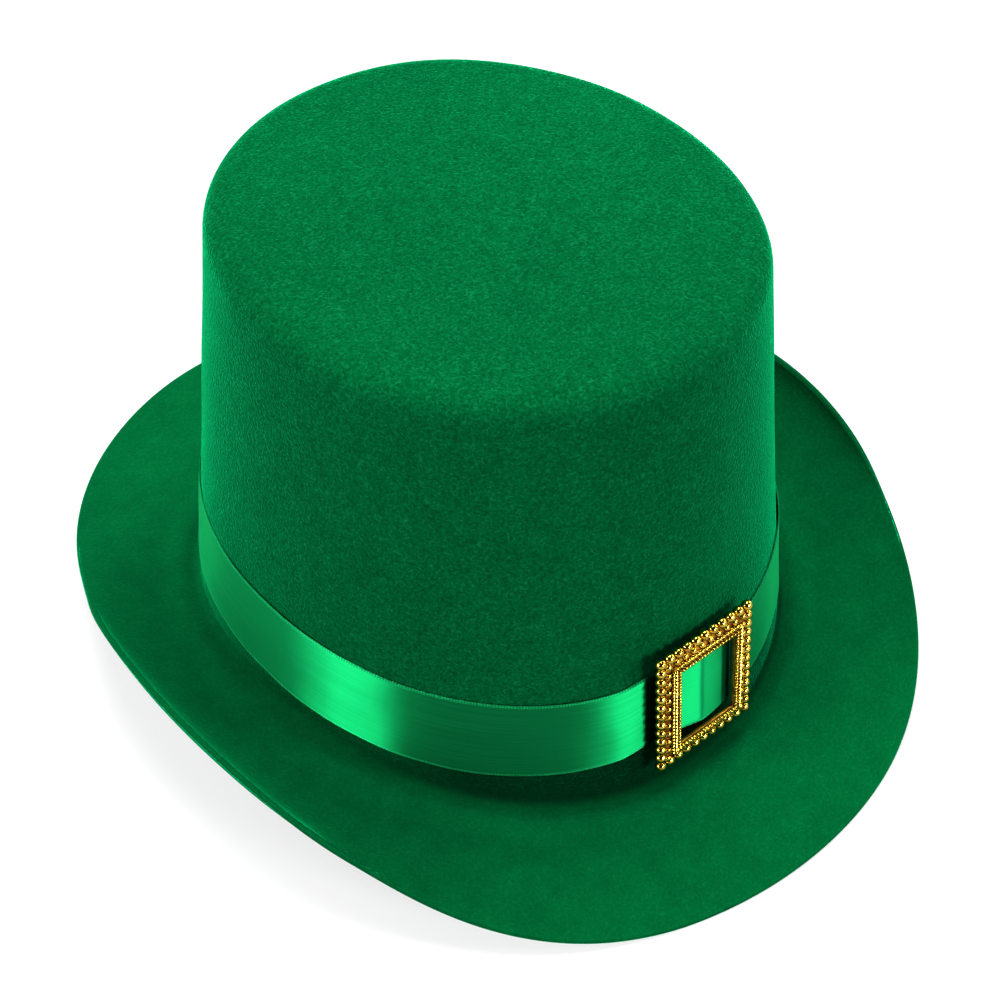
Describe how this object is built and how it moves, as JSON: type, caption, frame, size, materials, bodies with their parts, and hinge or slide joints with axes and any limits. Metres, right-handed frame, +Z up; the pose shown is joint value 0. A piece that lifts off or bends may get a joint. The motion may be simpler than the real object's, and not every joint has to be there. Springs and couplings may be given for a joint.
{
  "type": "felt top hat",
  "caption": "Green felt top hat with a flat tip, a brim rolled up at both sides, a satin ribbon band and a beaded gold rectangular buckle.",
  "frame": {"origin": "on the surface that the hat stands on, under the middle of the brim's outline", "axes": "-Y is the front of the hat, where the buckle sits, +X is the viewer's right from the front, +Z is up"},
  "size_m": [0.2588, 0.3156, 0.168],
  "materials": {
    "green_felt": "matte blocked felt with short matted fibres, a mottled nap and a soft sheen at grazing angles",
    "green_satin": "glossy single-face satin ribbon with fine lengthwise threads and a woven selvedge at both edges",
    "gilt_metal": "polished gold-coloured plating over a cast bead, bump and rope relief, darker in the recesses"
  },
  "bodies": {
    "root": {"felt_body": "green_felt", "ribbon_band": "green_satin", "buckle_frame": "gilt_metal"}
  },
  "joints": []
}
